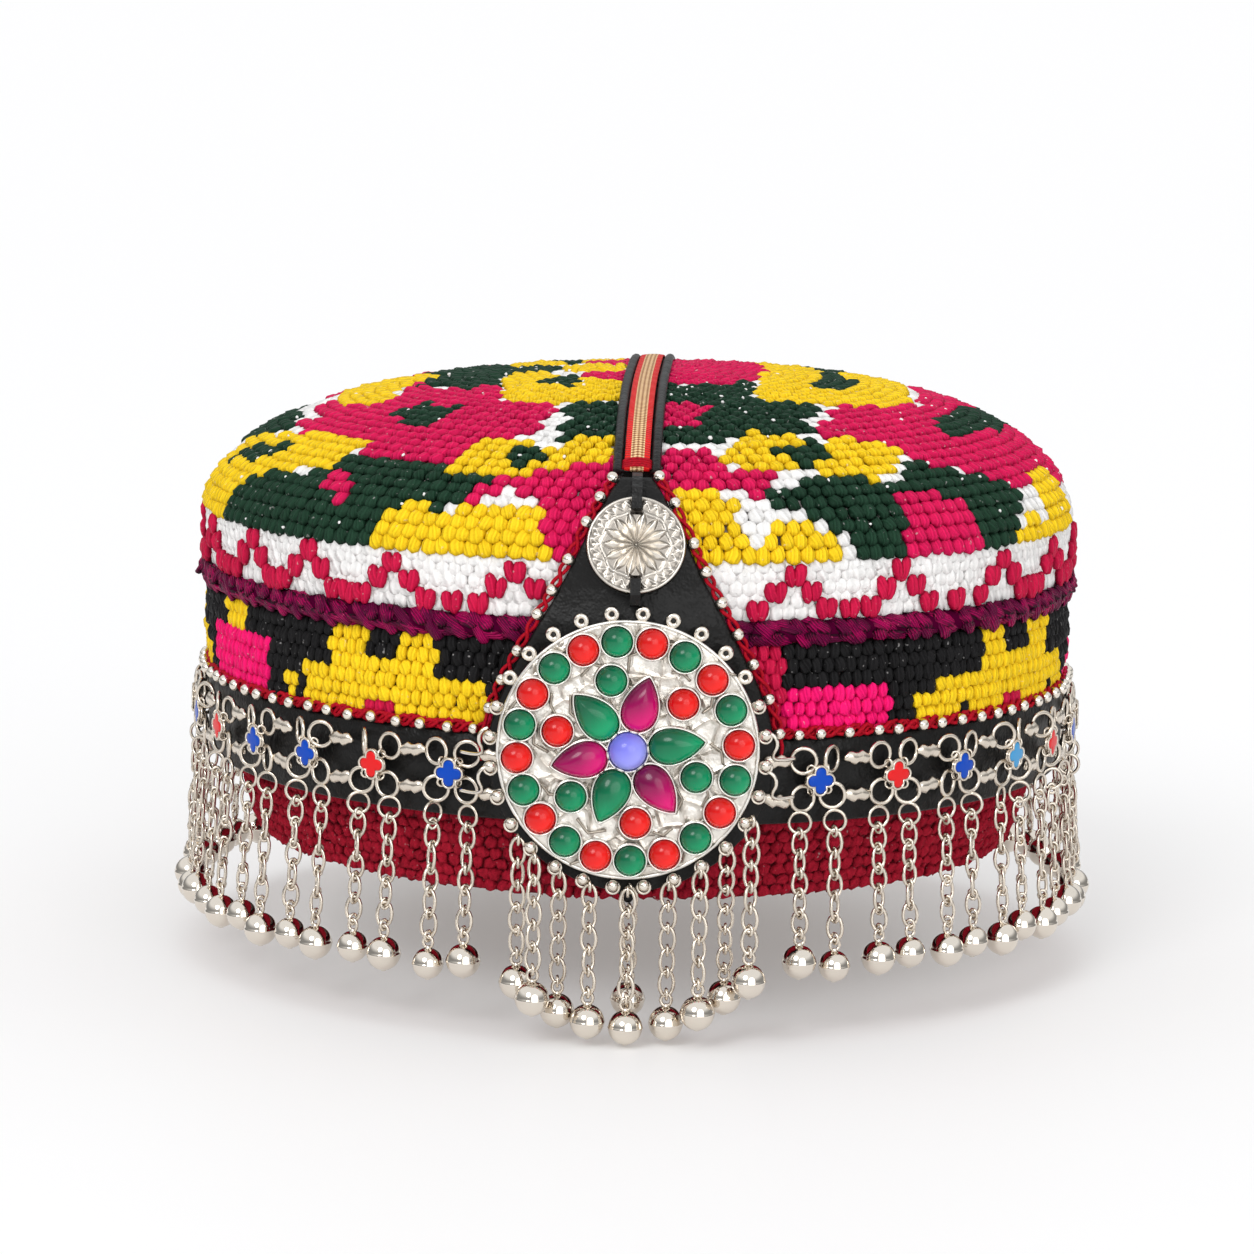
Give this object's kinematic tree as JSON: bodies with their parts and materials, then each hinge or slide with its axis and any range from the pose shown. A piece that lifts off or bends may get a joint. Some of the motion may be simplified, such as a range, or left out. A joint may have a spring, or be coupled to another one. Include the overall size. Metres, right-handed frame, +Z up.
{
  "type": "embroidered cap",
  "caption": "Round crocheted cap with a flat domed crown, a leather belt and front panel, a jewelled silver medallion and a belt of enamelled flowers with hanging bells",
  "frame": {"origin": "the middle of the head opening, in the plane of the headband's lower edge", "axes": "+Z up through the crown, +X to the right as the front is seen, the front panel and medallion towards -Y"},
  "size_m": [0.2168, 0.2215, 0.137],
  "materials": {
    "crown_yarn": "crocheted acrylic yarn in yellow, magenta, green and white",
    "plum_yarn": "wound silky plum thread",
    "band_yarn": "crocheted yarn in black, yellow and pink",
    "crimson_yarn": "knitted crimson wool",
    "black_leather": "matte black leather",
    "red_ribbon": "woven red and gold ribbon",
    "silver": "polished silver-coloured metal with a warm tint",
    "green_glass": "polished green glass",
    "red_glass": "polished red glass",
    "magenta_glass": "polished magenta glass",
    "blue_glass": "polished periwinkle glass"
  },
  "bodies": {
    "root": {"crown": "crown_yarn", "braid_roll": "plum_yarn", "side_band": "band_yarn", "headband": "crimson_yarn", "leather_belt": "black_leather", "leather_shield": "black_leather", "crown_strap": "black_leather", "strap_ribbon": "red_ribbon", "star_disc": "silver", "disc_tab_upper": "black_leather", "disc_tab_lower": "black_leather", "medallion": "silver", "stone_outer_01": "green_glass", "stone_outer_02": "red_glass", "stone_outer_03": "green_glass", "stone_outer_04": "red_glass", "stone_outer_05": "green_glass", "stone_outer_06": "red_glass", "stone_outer_07": "green_glass", "stone_outer_08": "red_glass", "stone_outer_09": "green_glass", "stone_outer_10": "red_glass", "stone_outer_11": "green_glass", "stone_outer_12": "red_glass", "stone_outer_13": "green_glass", "stone_outer_14": "red_glass", "stone_outer_15": "green_glass", "stone_outer_16": "red_glass", "stone_outer_17": "green_glass", "stone_outer_18": "red_glass", "stone_outer_19": "green_glass", "stone_outer_20": "red_glass", "stone_inner_1": "green_glass", "stone_inner_2": "red_glass", "stone_inner_3": "green_glass", "stone_inner_4": "red_glass", "stone_inner_5": "green_glass", "stone_inner_6": "red_glass", "stone_drop_1": "magenta_glass", "stone_drop_2": "green_glass", "stone_drop_3": "magenta_glass", "stone_drop_4": "green_glass", "stone_drop_5": "magenta_glass", "stone_drop_6": "green_glass", "stone_centre": "blue_glass", "belt_chain_left": "silver", "belt_chain_right": "silver", "medallion_fringe": "silver"}
  },
  "joints": []
}
